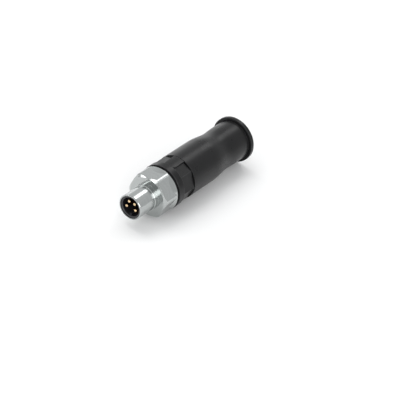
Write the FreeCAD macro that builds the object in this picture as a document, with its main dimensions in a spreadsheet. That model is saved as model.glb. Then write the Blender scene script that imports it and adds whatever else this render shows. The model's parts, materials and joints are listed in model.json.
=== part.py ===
import FreeCAD, Part
import math
import os
import re
import Sketcher

# Field-attachable circular plug with four pins and a screwed cable clamp.
# It lies along X: the front rim of the coupling sleeve is at X = 0, the cable
# enters at the rear, at the largest X, and the raised pad is on top, at +Z.
# All sizes are in millimetres.

SIZES = [
    # Outside
    ("plug_diameter", "14.0", "over the corners and the pad of the eight-sided part"),
    # Coupling sleeve
    ("sleeve_diameter", "8.0", "smooth front sleeve, outside"),
    ("sleeve_length", "6.5", "front rim to neck"),
    ("sleeve_bore", "7.24", "front bore round the insert"),
    ("rim_bevel", "0.15", "bevel on the front rim"),
    ("neck_diameter", "8.4", "neck between sleeve and collar"),
    ("neck_length", "1.35", "neck, along the axis"),
    ("neck_bevel", "0.1", "bevel on the front edge of the neck"),
    ("collar_length", "5.72", "hexagonal collar, along the axis"),
    ("collar_step", "0.025", "corners of the collar outside the plug's own circle"),
    ("collar_flat_depth", "0.725", "flats of the collar below its corners"),
    ("collar_turn", "-9", "how the free collar stands at rest, in degrees"),
    ("collar_face_depth", "0.925", "rim of the flat front face below the corners"),
    ("collar_face_bevel", "0.7", "front bevel of the collar, along the axis"),
    ("collar_rim_length", "0.2", "round rim behind the flats"),
    ("collar_rim_bevel", "0.1", "bevels on the round rim"),
    ("collar_web", "0.55", "wall between the front face and the counterbore"),
    ("counterbore_diameter", "9.8", "bore that holds flange, clip and nose"),
    # Snap ring that holds the coupling sleeve
    ("clip_play", "0.35", "free space before and behind the retaining clip"),
    ("clip_thickness", "0.5", "both snap rings, along the axis"),
    ("clip_groove_diameter", "10.3", "groove in the coupling sleeve"),
    ("clip_overlap", "0.3", "how far the retaining clip covers the flange"),
    ("clip_gap_angle", "28", "opening of both snap rings"),
    ("clip_fit", "0.02", "radial room of a snap ring in its groove"),
    ("groove_play", "0.05", "room beside a snap ring in its groove"),
    # Socket shroud, contact carrier and terminal block
    ("carrier_recess", "0.25", "front of the insert behind the rim"),
    ("carrier_fit", "0.07", "radial room between insert and sleeve"),
    ("socket_diameter", "6.0", "socket round the pins"),
    ("socket_depth", "5.6", "front of the insert to the socket floor"),
    ("socket_bevel", "0.12", "bevel on the mouth of the socket"),
    ("flange_gap", "0.1", "room between flange and coupling step"),
    ("flange_fit", "0.2", "radial room of flange and nose in the coupling"),
    ("flange_length", "2.1", "retaining flange of the insert"),
    ("boss_diameter", "8.3", "boss behind the flange"),
    ("stem_diameter", "7.6", "stem and terminal block"),
    ("stem_length", "8.8", "stem and terminal block, along the axis"),
    ("stem_fit", "0.02", "radial room of the stem in the front housing"),
    ("coding_width", "0.7", "coding rib in the socket"),
    ("coding_height", "0.45", "coding rib, inwards from the wall"),
    ("coding_recess", "0.6", "coding rib behind the front of the insert"),
    ("key_width", "1.0", "key under the stem"),
    ("key_height", "0.4", "key, outwards from the stem"),
    ("key_place", "2.2", "front end of the key behind the front of the stem"),
    ("key_length", "4.5", "key, along the axis"),
    ("key_fit", "0.05", "room round the key"),
    # Contacts and their screws
    ("pin_circle", "3.4", "circle through the pin centres"),
    ("pin_step_angle", "72", "angle from pin to pin"),
    ("pin_diameter", "1.0", "contact pin"),
    ("pin_recess", "0.35", "pin tip behind the rim"),
    ("pin_tip_radius", "0.38", "rounding of the pin tip"),
    ("shank_diameter", "1.4", "pin where the insert holds it, up to the socket floor"),
    ("pin_fit", "0.01", "radial room of a shank in its hole"),
    ("barrel_diameter", "1.6", "rear barrel of a pin"),
    ("barrel_fit", "0.02", "radial room of a barrel in its hole"),
    ("barrel_place", "1.7", "front of the barrels behind the front of the stem"),
    ("barrel_recess", "0.2", "rear of the barrels inside the terminal block"),
    ("wire_bore", "1.0", "hole for the wire"),
    ("wire_stop", "1.0", "wire hole in front of the screw"),
    ("screw_place", "3.2", "screw behind the front of the barrel"),
    ("screw_diameter", "0.96", "terminal screw"),
    ("screw_length", "1.35", "terminal screw, along its own axis"),
    ("screw_entry", "0.05", "screw tip inside the wire hole"),
    ("screw_fit", "0.02", "radial room of a screw"),
    ("slot_width", "0.2", "driving slot of a screw"),
    ("slot_depth", "0.3", "driving slot of a screw"),
    ("carrier_clip_place", "0.85", "carrier clip in front of the block's rear end"),
    ("carrier_groove_diameter", "7.0", "groove for the carrier clip"),
    # Seals
    ("coupling_seal_thickness", "0.6", "O-ring on the insert"),
    ("coupling_seal_place", "0.55", "its groove behind the socket floor"),
    ("housing_seal_thickness", "0.7", "O-ring at the seam"),
    ("housing_seal_place", "0.5", "its groove behind the seam"),
    ("housing_seal_sink", "0.5", "depth of its groove"),
    ("seal_fit", "0.02", "radial room outside an O-ring"),
    ("seal_groove_play", "0.1", "groove wider than its O-ring"),
    # Front housing
    ("turning_gap", "0.18", "coupling sleeve to front housing"),
    ("housing_neck_length", "0.7", "dark neck behind the coupling"),
    ("housing_neck_depth", "0.6", "dark neck below the plug's own circle"),
    ("housing_collar_length", "2.35", "round collar"),
    ("housing_collar_step", "0.1", "round collar outside the plug's own circle"),
    ("housing_collar_bevel", "0.14", "bevels of the round collar"),
    ("relief_length", "0.16", "fine groove behind the round collar"),
    ("relief_sink", "0.35", "fine groove below the plug's own circle"),
    ("grip_length", "4.9", "eight-sided part with its fine groove"),
    ("grip_flat_depth", "0.6", "flats of the eight-sided part below its corners"),
    ("pad_width", "3.7", "raised pad, across"),
    ("pad_corner_radius", "0.7", "front corners of the pad"),
    ("spigot_length", "8.3", "threaded spigot behind the seam"),
    ("thread_diameter", "10.6", "threaded spigot, outside"),
    ("thread_fit", "0.05", "radial room of the thread"),
    ("thread_bevel", "0.3", "bevel at the end of the spigot"),
    ("spigot_bore", "8.8", "hollow behind the terminal block"),
    ("ring_room", "0.1", "radial room of the carrier clip in the spigot"),
    # Cable clamp
    ("cage_base_length", "1.5", "ring of the clamping cage"),
    ("cage_base_diameter", "9.8", "ring of the clamping cage"),
    ("cage_bore", "6.6", "wire passage through the cage's ring"),
    ("cage_pilot_length", "1.0", "collar of the cage inside the spigot"),
    ("cage_pilot_fit", "0.05", "radial room of that collar"),
    ("finger_length", "7.9", "fingers of the cage"),
    ("finger_diameter", "9.2", "over the fingers"),
    ("finger_bore", "7.9", "between the fingers"),
    ("finger_bevel_length", "1.8", "bevel at the finger tips"),
    ("finger_tip_diameter", "8.3", "over the finger tips"),
    ("finger_slot_width", "0.9", "slot between two fingers"),
    ("finger_slot_place", "1.0", "slots behind the cage's ring"),
    ("cage_room", "0.2", "room between cage and rear sleeve"),
    ("seal_shoulder", "0.5", "front of the cable seal behind the cage's ring"),
    ("cable_seal_length", "7.0", "rubber cable seal"),
    ("cable_seal_fit", "0.03", "radial room of the cable seal"),
    ("cable_seal_bore", "4.2", "waist of the cable seal"),
    ("cable_seal_mouth", "5.4", "open ends of the cable seal"),
    ("cable_seal_flare", "1.6", "flare at each end of the cable seal"),
    ("ring_gap", "0.2", "finger tips to pressure ring"),
    ("ring_length", "1.0", "pressure ring, along the axis"),
    ("ring_diameter", "8.6", "pressure ring, outside"),
    ("ring_bore", "6.6", "pressure ring, inside"),
    ("ring_fit", "0.05", "room round the pressure ring"),
    ("ring_bearing", "0.02", "pressure ring to the floor of its pocket"),
    # Rear sleeve
    ("seam_gap", "0.15", "open seam at the front housing"),
    ("rear_step", "0.05", "smooth body of the rear sleeve inside the plug's own circle"),
    ("rear_bevel", "0.15", "bevel at the seam"),
    ("rear_length", "12.95", "smooth body, along the axis"),
    ("taper_length", "5.2", "taper to the waist"),
    ("waist_depth", "0.75", "waist below the smooth body"),
    ("waist_length", "1.0", "waist, along the axis"),
    ("flare_length", "3.5", "flare behind the waist"),
    ("tail_rise", "0.2", "tail above the waist"),
    ("tail_length", "5.45", "tail up to the lip"),
    ("relief_width", "0.3", "groove in front of the lip"),
    ("relief_depth", "0.2", "groove in front of the lip"),
    ("lip_length", "1.25", "round lip at the rear end"),
    ("lip_height", "0.9", "round lip above the tail"),
    ("lip_radius", "0.16", "rounding of the lip"),
    ("seal_bore_length", "2.45", "smooth bore over the O-ring"),
    ("thread_runout", "0.3", "thread beyond the end of the spigot"),
    ("cone_length", "2.4", "inner cone ahead of the finger bevel"),
    ("cable_bore", "5.6", "cable bore"),
    ("mouth_diameter", "7.4", "rear mouth of the cable bore"),
    ("mouth_length", "2.6", "flared rear mouth"),
]

# Counts and fixed angles
PIN_COUNT = 4
COLLAR_SIDES = 6
GRIP_SIDES = 8
FINGER_COUNT = 6
FULL_TURN = 360
PIN_REACH = f"{PIN_COUNT - 1} * pin_step_angle"

document = FreeCAD.newDocument("circular_plug")
dims = document.addObject("Spreadsheet::Sheet", "dims")
for row, (alias, number, meaning) in enumerate(SIZES, start=1):
    dims.set(f"A{row}", meaning)
    dims.set(f"B{row}", number)
    dims.setAlias(f"B{row}", alias)
document.recompute()
ALIASES = {alias for alias, number, meaning in SIZES}

# Places along the axis, as formulas of the sizes above
NECK_FRONT = "sleeve_length"
COLLAR_FRONT = f"({NECK_FRONT} + neck_length)"
COLLAR_REAR = f"({COLLAR_FRONT} + collar_length)"
COLLAR_RIM = f"({COLLAR_REAR} - collar_rim_length)"
COUPLING_STEP = f"({COLLAR_FRONT} + collar_web)"
SOCKET_FRONT = "carrier_recess"
SOCKET_FLOOR = f"({SOCKET_FRONT} + socket_depth)"
FLANGE_FRONT = f"({COUPLING_STEP} + flange_gap)"
FLANGE_REAR = f"({FLANGE_FRONT} + flange_length)"
CLIP_FRONT = f"({FLANGE_REAR} + clip_play)"
CLIP_REAR = f"({CLIP_FRONT} + clip_thickness)"
STEM_FRONT = f"({CLIP_REAR} + clip_play)"
STEM_REAR = f"({STEM_FRONT} + stem_length)"
CARRIER_CLIP_FRONT = f"({STEM_REAR} - carrier_clip_place)"
CARRIER_CLIP_REAR = f"({CARRIER_CLIP_FRONT} + clip_thickness)"
BARREL_FRONT = f"({STEM_FRONT} + barrel_place)"
BARREL_REAR = f"({STEM_REAR} - barrel_recess)"
SCREW_PLACE = f"({BARREL_FRONT} + screw_place)"
HOUSING_NECK = f"({COLLAR_REAR} + turning_gap)"
HOUSING_COLLAR = f"({HOUSING_NECK} + housing_neck_length)"
GRIP_FRONT = f"({HOUSING_COLLAR} + housing_collar_length)"
SEAM = f"({GRIP_FRONT} + grip_length)"
SPIGOT_REAR = f"({SEAM} + spigot_length)"
CAGE_BASE_REAR = f"({SPIGOT_REAR} + cage_base_length)"
FINGER_REAR = f"({CAGE_BASE_REAR} + finger_length)"
FINGER_BEVEL = f"({FINGER_REAR} - finger_bevel_length)"
SEAL_SHOULDER = f"({CAGE_BASE_REAR} + seal_shoulder)"
RING_FRONT = f"({FINGER_REAR} + ring_gap)"
RING_REAR = f"({RING_FRONT} + ring_length)"
REAR_FRONT = f"({SEAM} + seam_gap)"
TAPER_FRONT = f"({REAR_FRONT} + rear_length)"
WAIST_FRONT = f"({TAPER_FRONT} + taper_length)"
FLARE_FRONT = f"({WAIST_FRONT} + waist_length)"
TAIL_FRONT = f"({FLARE_FRONT} + flare_length)"
LIP_FRONT = f"({TAIL_FRONT} + tail_length)"
LIP_REAR = f"({LIP_FRONT} + lip_length)"
COUPLING_SEAL = f"({SOCKET_FLOOR} + coupling_seal_place)"
HOUSING_SEAL = f"({SEAM} + housing_seal_place)"

# Radii that follow the plug's own circle
PLUG_RADIUS = "(plug_diameter / 2)"
COLLAR_RADIUS = f"({PLUG_RADIUS} + collar_step)"
HOUSING_COLLAR_RADIUS = f"({PLUG_RADIUS} + housing_collar_step)"
REAR_RADIUS = f"({PLUG_RADIUS} - rear_step)"
WAIST_RADIUS = f"({REAR_RADIUS} - waist_depth)"
TAIL_RADIUS = f"({WAIST_RADIUS} + tail_rise)"
LIP_RADIUS = f"({TAIL_RADIUS} + lip_height)"

# Radii that two or more pieces share
FLANGE_RADIUS = "(counterbore_diameter / 2 - flange_fit)"
SHROUD_RADIUS = "(sleeve_bore / 2 - carrier_fit)"
COUPLING_GROOVE = "(sleeve_bore / 2 - seal_fit - coupling_seal_thickness)"
HOUSING_GROOVE = "(thread_diameter / 2 - housing_seal_sink)"
SEAL_BORE_RADIUS = f"({HOUSING_GROOVE} + housing_seal_thickness + seal_fit)"
KEY_RADIUS = "(stem_diameter / 2 + key_height)"


def bound(formula):
    """Write a formula of size names the way an expression refers to the sheet."""
    def cell(word):
        return "dims." + word.group() if word.group() in ALIASES else word.group()
    return re.sub(r"[a-z][a-z_]*", cell, formula)


def number(formula):
    """The present value of a formula of size names."""
    return float(dims.evalExpression(bound(formula)))


def new_body(name):
    body = document.addObject("PartDesign::Body", name)
    body.Label = name
    return body


def origin_part(body, role):
    return [part for part in body.Origin.OriginFeatures if part.Role == role][0]


def sketch_on(body, plane, name, shift="0", turn=None):
    """A sketch on one of the body's own planes, shifted along the plane's normal.

    turn is a rotation of the plane before the shift.
    """
    sketch = body.newObject("Sketcher::SketchObject", name)
    sketch.AttachmentSupport = [(origin_part(body, plane), "")]
    sketch.MapMode = "FlatFace"
    rotation = turn or FreeCAD.Rotation()
    normal = rotation.multVec(FreeCAD.Vector(0, 0, 1))
    sketch.AttachmentOffset = FreeCAD.Placement(normal * number(shift), rotation)
    for axis in "xyz":
        share = getattr(normal, axis)
        sketch.setExpression(f"AttachmentOffset.Base.{axis}", f"{share:.12f} * ({bound(shift)})")
    return sketch


def bowed_side(start, end, radius):
    """An arc from start to end that bows outwards from an outline drawn anticlockwise."""
    chord = end - start
    rise = radius - math.sqrt(radius ** 2 - (chord.Length / 2) ** 2)
    outwards = FreeCAD.Vector(chord.y, -chord.x, 0).normalize()
    return Part.Arc(start, (start + end) * 0.5 + outwards * rise, end)


def outline(sketch, corners, bowed=None):
    """Draw a closed chain of sides through corners given as formulas.

    Sides are straight, apart from those that bowed names with the formula of their radius.
    """
    bowed = bowed or {}
    count = len(corners)
    points = [FreeCAD.Vector(number(across), number(up), 0) for across, up in corners]
    for i in range(count):
        start, end = points[i], points[(i + 1) % count]
        side = bowed_side(start, end, number(bowed[i])) if i in bowed else Part.LineSegment(start, end)
        sketch.addGeometry(side, False)
    joints = [Sketcher.Constraint("Coincident", i, 2, (i + 1) % count, 1) for i in range(count)]
    sketch.addConstraint(joints)
    for i, (across, up) in enumerate(corners):
        for kind, formula, present in (("DistanceX", across, points[i].x), ("DistanceY", up, points[i].y)):
            index = sketch.addConstraint(Sketcher.Constraint(kind, -1, 1, i, 1, present))
            sketch.setExpression(f"Constraints[{index}]", bound(formula))
    for i, radius in bowed.items():
        index = sketch.addConstraint(Sketcher.Constraint("Radius", i, number(radius)))
        sketch.setExpression(f"Constraints[{index}]", bound(radius))


def box_outline(sketch, left, right, bottom, top):
    outline(sketch, [(left, bottom), (right, bottom), (right, top), (left, top)])


def circle(sketch, across, up, radius):
    """Draw a circle whose centre and radius are formulas."""
    centre = FreeCAD.Vector(number(across), number(up), 0)
    upward = FreeCAD.Vector(0, 0, 1)
    sketch.addGeometry(Part.Circle(centre, upward, number(radius)), False)
    for kind, formula, present in (("DistanceX", across, centre.x), ("DistanceY", up, centre.y)):
        index = sketch.addConstraint(Sketcher.Constraint(kind, -1, 1, 0, 3, present))
        sketch.setExpression(f"Constraints[{index}]", bound(formula))
    index = sketch.addConstraint(Sketcher.Constraint("Radius", 0, number(radius)))
    sketch.setExpression(f"Constraints[{index}]", bound(radius))


def turned(body, corners, angle=str(FULL_TURN)):
    """Turn a section of (place along the axis, radius) formulas about the X axis."""
    sketch = sketch_on(body, "XZ_Plane", body.Label + "_section")
    outline(sketch, corners)
    feature = body.newObject("PartDesign::Revolution", body.Label + "_turning")
    feature.Profile = sketch
    feature.ReferenceAxis = (sketch, ["H_Axis"])
    feature.setExpression("Angle", bound(angle))
    return feature


def grooved(body, name, corners):
    """Cut a turned groove about the X axis."""
    sketch = sketch_on(body, "XZ_Plane", name + "_section")
    outline(sketch, corners)
    feature = body.newObject("PartDesign::Groove", name)
    feature.Profile = sketch
    feature.ReferenceAxis = (sketch, ["H_Axis"])
    feature.Angle = FULL_TURN
    return feature


def pocket(body, sketch, name, depth, along_normal=False):
    feature = body.newObject("PartDesign::Pocket", name)
    feature.Profile = sketch
    feature.setExpression("Length", bound(depth))
    feature.Reversed = along_normal
    return feature


def pad(body, sketch, name, height):
    feature = body.newObject("PartDesign::Pad", name)
    feature.Profile = sketch
    feature.setExpression("Length", bound(height))
    return feature


def repeated(body, original, name, count, angle=str(FULL_TURN)):
    """Repeat a feature round the X axis."""
    pattern = body.newObject("PartDesign::PolarPattern", name)
    pattern.Originals = [original]
    pattern.Axis = (origin_part(body, "X_Axis"), [""])
    pattern.setExpression("Angle", bound(angle))
    pattern.Occurrences = count
    body.Tip = pattern
    return pattern


def rounded(body, base, name, chosen, radius):
    """Round the edges of base for which chosen(edge) is true."""
    document.recompute()
    edges = [f"Edge{i}" for i, edge in enumerate(base.Shape.Edges, start=1) if chosen(edge)]
    feature = body.newObject("PartDesign::Fillet", name)
    feature.Base = (base, edges)
    feature.setExpression("Radius", bound(radius))
    return feature


def is_circle_at(place, radius):
    """A test for a circular edge about X at a place and radius given as formulas."""
    def chosen(edge):
        curve = edge.Curve
        if not isinstance(curve, Part.Circle):
            return False
        tolerance = 1e-4
        in_place = abs(curve.Center.x - number(place)) < tolerance
        return in_place and abs(curve.Radius - number(radius)) < tolerance
    return chosen


def pin_angle(index):
    """Angle of a pin from the top, as a formula in degrees."""
    return f"({index - (PIN_COUNT - 1) / 2} * pin_step_angle)"


def place_round_axis(body, index, along, radius):
    """Place a body at a pin's angle, with its own Z axis pointing outwards."""
    angle = pin_angle(index)
    across = f"-1 * ({radius}) * sin({angle} * 1 deg)"
    up = f"({radius}) * cos({angle} * 1 deg)"
    base = FreeCAD.Vector(number(along), number(across), number(up))
    turn = FreeCAD.Rotation(FreeCAD.Vector(1, 0, 0), number(angle))
    body.Placement = FreeCAD.Placement(base, turn)
    body.setExpression("Placement.Base.x", bound(along))
    body.setExpression("Placement.Base.y", bound(across))
    body.setExpression("Placement.Base.z", bound(up))


def four_holes(body, name, front, rear, radius):
    """Holes along the axis at the pins' places, from front to rear."""
    first = FreeCAD.Rotation(FreeCAD.Vector(0, 0, 1), number(pin_angle(0)))
    sketch = sketch_on(body, "YZ_Plane", f"{name}_outline", front, first)
    sketch.setExpression("AttachmentOffset.Rotation.Angle", bound(f"{pin_angle(0)} * 1 deg"))
    circle(sketch, "0", "pin_circle / 2", radius)
    hole = pocket(body, sketch, name, f"{rear} - {front}", along_normal=True)
    repeated(body, hole, f"{name}s", PIN_COUNT, PIN_REACH)


def make_coupling_sleeve():
    """Smooth sleeve, neck and hexagonal collar, turned and then milled."""
    body = new_body("coupling_sleeve")
    groove_front = f"({CLIP_FRONT} - groove_play)"
    groove_rear = f"({CLIP_REAR} + groove_play)"
    turned(body, [
        ("0", "sleeve_bore / 2"),
        ("0", "sleeve_diameter / 2 - rim_bevel"),
        ("rim_bevel", "sleeve_diameter / 2"),
        (NECK_FRONT, "sleeve_diameter / 2"),
        (NECK_FRONT, "neck_diameter / 2 - neck_bevel"),
        (f"{NECK_FRONT} + neck_bevel", "neck_diameter / 2"),
        (COLLAR_FRONT, "neck_diameter / 2"),
        (COLLAR_FRONT, f"{COLLAR_RADIUS} - collar_face_depth"),
        (f"{COLLAR_FRONT} + collar_face_bevel", COLLAR_RADIUS),
        (f"{COLLAR_REAR} - collar_rim_bevel", COLLAR_RADIUS),
        (COLLAR_REAR, f"{COLLAR_RADIUS} - collar_rim_bevel"),
        (COLLAR_REAR, "counterbore_diameter / 2"),
        (groove_rear, "counterbore_diameter / 2"),
        (groove_rear, "clip_groove_diameter / 2"),
        (groove_front, "clip_groove_diameter / 2"),
        (groove_front, "counterbore_diameter / 2"),
        (COUPLING_STEP, "counterbore_diameter / 2"),
        (COUPLING_STEP, "sleeve_bore / 2"),
    ])
    at_rest = FreeCAD.Rotation(FreeCAD.Vector(0, 0, 1), number("collar_turn"))
    sketch = sketch_on(body, "YZ_Plane", "collar_flat_outline", COLLAR_FRONT, at_rest)
    sketch.setExpression("AttachmentOffset.Rotation.Angle", bound("collar_turn * 1 deg"))
    flat_radius = f"{COLLAR_RADIUS} - collar_flat_depth"
    box_outline(sketch, f"-1 * {COLLAR_RADIUS}", COLLAR_RADIUS, flat_radius, f"2 * {COLLAR_RADIUS}")
    flat = pocket(body, sketch, "collar_flat", f"{COLLAR_RIM} - {COLLAR_FRONT}", along_normal=True)
    repeated(body, flat, "collar_flats_all", COLLAR_SIDES)
    return body


def make_retaining_clip():
    body = new_body("retaining_clip")
    inner = f"{FLANGE_RADIUS} - clip_overlap"
    outer = "clip_groove_diameter / 2 - clip_fit"
    turned(body, [(CLIP_FRONT, inner), (CLIP_FRONT, outer), (CLIP_REAR, outer), (CLIP_REAR, inner)],
           f"{FULL_TURN} - clip_gap_angle")
    return body


def make_ring_seal(name, groove_front, groove_radius, thickness):
    """O-ring about X that lies on the floor of its groove."""
    ring = document.addObject("Part::Torus", name)
    ring.Label = name
    ring.setExpression("Radius1", bound(f"{groove_radius} + {thickness} / 2"))
    ring.setExpression("Radius2", bound(f"{thickness} / 2"))
    upright = FreeCAD.Rotation(FreeCAD.Vector(0, 1, 0), 90)
    middle = f"{groove_front} + ({thickness} + seal_groove_play) / 2"
    ring.Placement = FreeCAD.Placement(FreeCAD.Vector(number(middle), 0, 0), upright)
    ring.setExpression("Placement.Base.x", bound(middle))
    return ring


def make_socket_shroud():
    """Insulating ring round the pins, with the coding rib, seated on the contact carrier."""
    body = new_body("socket_shroud")
    turned(body, [
        (SOCKET_FRONT, "socket_diameter / 2 + socket_bevel"),
        (SOCKET_FRONT, SHROUD_RADIUS),
        (SOCKET_FLOOR, SHROUD_RADIUS),
        (SOCKET_FLOOR, "socket_diameter / 2"),
        (f"{SOCKET_FRONT} + socket_bevel", "socket_diameter / 2"),
    ])
    rib_root = f"(socket_diameter / 2 + {SHROUD_RADIUS}) / 2"
    sketch = sketch_on(body, "XY_Plane", "coding_rib_outline", f"-1 * {rib_root}")
    box_outline(sketch, f"{SOCKET_FRONT} + coding_recess", SOCKET_FLOOR,
                "-1 * coding_width / 2", "coding_width / 2")
    pad(body, sketch, "coding_rib", f"{rib_root} - socket_diameter / 2 + coding_height")
    return body


def make_contact_carrier():
    """Insulating insert: socket floor, retaining flange and boss in one moulding."""
    body = new_body("contact_carrier")
    seal_rear = f"({COUPLING_SEAL} + coupling_seal_thickness + seal_groove_play)"
    turned(body, [
        (SOCKET_FLOOR, "0"),
        (SOCKET_FLOOR, SHROUD_RADIUS),
        (COUPLING_SEAL, SHROUD_RADIUS),
        (COUPLING_SEAL, COUPLING_GROOVE),
        (seal_rear, COUPLING_GROOVE),
        (seal_rear, SHROUD_RADIUS),
        (FLANGE_FRONT, SHROUD_RADIUS),
        (FLANGE_FRONT, FLANGE_RADIUS),
        (FLANGE_REAR, FLANGE_RADIUS),
        (FLANGE_REAR, "boss_diameter / 2"),
        (STEM_FRONT, "boss_diameter / 2"),
        (STEM_FRONT, "0"),
    ])
    four_holes(body, "pin_hole", SOCKET_FLOOR, STEM_FRONT, "shank_diameter / 2 + pin_fit")
    return body


def make_terminal_block():
    """Rear half of the insert: a keyed block that holds the four screw barrels."""
    body = new_body("terminal_block")
    clip_rear = f"({CARRIER_CLIP_REAR} + groove_play)"
    turned(body, [
        (STEM_FRONT, "0"),
        (STEM_FRONT, "stem_diameter / 2"),
        (CARRIER_CLIP_FRONT, "stem_diameter / 2"),
        (CARRIER_CLIP_FRONT, "carrier_groove_diameter / 2"),
        (clip_rear, "carrier_groove_diameter / 2"),
        (clip_rear, "stem_diameter / 2"),
        (STEM_REAR, "stem_diameter / 2"),
        (STEM_REAR, "0"),
    ])
    sketch = sketch_on(body, "XY_Plane", "stem_key_outline", f"-1 * {KEY_RADIUS}")
    box_outline(sketch, f"{STEM_FRONT} + key_place", f"{STEM_FRONT} + key_place + key_length",
                "-1 * key_width / 2", "key_width / 2")
    pad(body, sketch, "stem_key", "2 * key_height")
    four_holes(body, "shank_hole", STEM_FRONT, STEM_REAR, "shank_diameter / 2 + pin_fit")
    four_holes(body, "barrel_hole", BARREL_FRONT, STEM_REAR, "barrel_diameter / 2 + barrel_fit")
    sideways = FreeCAD.Rotation(FreeCAD.Vector(1, 0, 0), number(pin_angle(0)))
    sketch = sketch_on(body, "XY_Plane", "screw_hole_outline", "stem_diameter / 2", sideways)
    circle(sketch, SCREW_PLACE, "0", "screw_diameter / 2 + screw_fit")
    hole = pocket(body, sketch, "screw_hole", "stem_diameter / 2 - pin_circle / 2")
    repeated(body, hole, "screw_holes", PIN_COUNT, PIN_REACH)
    return body


def make_contact_pin(index):
    """Turned contact: a round pin with a rounded tip, a thicker shank and a screw barrel."""
    body = new_body(f"contact_pin_{index + 1}")
    wire_floor = f"({SCREW_PLACE} - wire_stop)"
    turning = turned(body, [
        ("pin_recess", "0"),
        ("pin_recess", "pin_diameter / 2"),
        (SOCKET_FLOOR, "pin_diameter / 2"),
        (SOCKET_FLOOR, "shank_diameter / 2"),
        (BARREL_FRONT, "shank_diameter / 2"),
        (BARREL_FRONT, "barrel_diameter / 2"),
        (BARREL_REAR, "barrel_diameter / 2"),
        (BARREL_REAR, "wire_bore / 2"),
        (wire_floor, "wire_bore / 2"),
        (wire_floor, "0"),
    ])
    tip_edge = is_circle_at("pin_recess", "pin_diameter / 2")
    rounded(body, turning, body.Label + "_tip", tip_edge, "pin_tip_radius")
    sketch = sketch_on(body, "XY_Plane", body.Label + "_thread_outline", "barrel_diameter / 2")
    circle(sketch, SCREW_PLACE, "0", "screw_diameter / 2 + screw_fit")
    pocket(body, sketch, body.Label + "_thread", "barrel_diameter / 2")
    place_round_axis(body, index, "0", "pin_circle / 2")
    return body


def make_terminal_screw(index):
    """Slotted grub screw that clamps one wire."""
    body = new_body(f"terminal_screw_{index + 1}")
    sketch = sketch_on(body, "XY_Plane", body.Label + "_outline")
    circle(sketch, "0", "0", "screw_diameter / 2")
    pad(body, sketch, body.Label + "_shank", "screw_length")
    sketch = sketch_on(body, "XY_Plane", body.Label + "_slot_outline", "screw_length")
    box_outline(sketch, "-1 * screw_diameter", "screw_diameter", "-1 * slot_width / 2", "slot_width / 2")
    pocket(body, sketch, body.Label + "_slot", "slot_depth")
    place_round_axis(body, index, SCREW_PLACE, "pin_circle / 2 + wire_bore / 2 - screw_entry")
    return body


def make_carrier_clip():
    body = new_body("carrier_clip")
    inner = "carrier_groove_diameter / 2 + clip_fit"
    outer = "spigot_bore / 2 - ring_room"
    front = f"{CARRIER_CLIP_FRONT} + clip_fit"
    rear = f"{CARRIER_CLIP_REAR} + clip_fit"
    turned(body, [(front, inner), (front, outer), (rear, outer), (rear, inner)],
           f"{FULL_TURN} - clip_gap_angle")
    return body


def make_front_housing():
    """Black ring: nose, dark neck, round collar, eight-sided grip, pad and threaded spigot."""
    body = new_body("front_housing")
    nose_bore = "(stem_diameter / 2 + stem_fit)"
    neck_radius = f"({PLUG_RADIUS} - housing_neck_depth)"
    relief_radius = f"({PLUG_RADIUS} - relief_sink)"
    seal_rear = f"({HOUSING_SEAL} + housing_seal_thickness + seal_groove_play)"
    turned(body, [
        (STEM_FRONT, nose_bore),
        (STEM_FRONT, FLANGE_RADIUS),
        (HOUSING_NECK, FLANGE_RADIUS),
        (HOUSING_NECK, neck_radius),
        (HOUSING_COLLAR, neck_radius),
        (HOUSING_COLLAR, f"{HOUSING_COLLAR_RADIUS} - housing_collar_bevel"),
        (f"{HOUSING_COLLAR} + housing_collar_bevel", HOUSING_COLLAR_RADIUS),
        (f"{GRIP_FRONT} - housing_collar_bevel / 2", HOUSING_COLLAR_RADIUS),
        (GRIP_FRONT, f"{HOUSING_COLLAR_RADIUS} - housing_collar_bevel / 2"),
        (GRIP_FRONT, relief_radius),
        (f"{GRIP_FRONT} + relief_length", relief_radius),
        (f"{GRIP_FRONT} + relief_length", PLUG_RADIUS),
        (SEAM, PLUG_RADIUS),
        (SEAM, "thread_diameter / 2"),
        (HOUSING_SEAL, "thread_diameter / 2"),
        (HOUSING_SEAL, HOUSING_GROOVE),
        (seal_rear, HOUSING_GROOVE),
        (seal_rear, "thread_diameter / 2"),
        (f"{SPIGOT_REAR} - thread_bevel", "thread_diameter / 2"),
        (SPIGOT_REAR, "thread_diameter / 2 - thread_bevel"),
        (SPIGOT_REAR, "spigot_bore / 2"),
        (CARRIER_CLIP_FRONT, "spigot_bore / 2"),
        (CARRIER_CLIP_FRONT, nose_bore),
    ])
    half_step = FreeCAD.Rotation(FreeCAD.Vector(0, 0, 1), FULL_TURN / GRIP_SIDES / 2)
    sketch = sketch_on(body, "YZ_Plane", "grip_flat_outline", GRIP_FRONT, half_step)
    box_outline(sketch, f"-1 * {PLUG_RADIUS}", PLUG_RADIUS,
                f"{PLUG_RADIUS} - grip_flat_depth", "plug_diameter")
    flat = pocket(body, sketch, "grip_flat", "grip_length", along_normal=True)
    repeated(body, flat, "grip_flats_all", GRIP_SIDES)
    make_pad(body)
    sketch = sketch_on(body, "XY_Plane", "keyway_outline")
    box_outline(sketch, f"{STEM_FRONT} - clip_play", CARRIER_CLIP_FRONT,
                "-1 * key_width / 2 - key_fit", "key_width / 2 + key_fit")
    pocket(body, sketch, "keyway", f"{KEY_RADIUS} + key_fit")
    return body


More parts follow.
